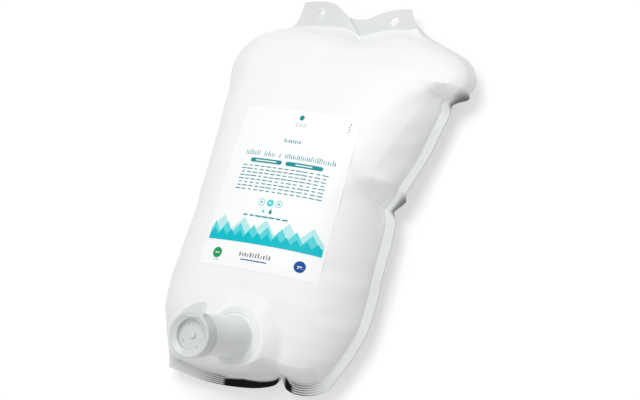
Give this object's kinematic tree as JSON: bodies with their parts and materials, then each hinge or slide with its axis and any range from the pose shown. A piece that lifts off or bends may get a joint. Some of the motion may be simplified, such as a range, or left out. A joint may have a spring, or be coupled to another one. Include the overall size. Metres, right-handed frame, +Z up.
{
  "type": "liquid refill bag",
  "caption": "Filled white film refill bag lying on its back, with punched hanging ears, a moulded spout, a pull-off cap and a front label.",
  "frame": {"origin": "middle of the flat patch on the back that the filled bag rests on", "axes": "+X to the label's right, +Y towards the hanging ears, +Z up, out of the front"},
  "size_m": [0.234, 0.3307, 0.1332],
  "materials": {
    "film": "satin white film with a soft sheen",
    "spout_plastic": "natural translucent moulded plastic",
    "valve_rubber": "soft matt",
    "cap_plastic": "natural translucent moulded plastic",
    "label_paper": "smooth white with plain printed shapes"
  },
  "bodies": {
    "bag": {"pouch": "film", "spout": "spout_plastic", "outlet_valve": "valve_rubber", "label": "label_paper"},
    "cap": {"cap": "cap_plastic"}
  },
  "joints": [
    {"name": "cap_pull", "type": "slide", "parent": "bag", "child": "cap", "axis": [0, -0.2351, 0.972], "range_m": [0, 0.03]}
  ]
}
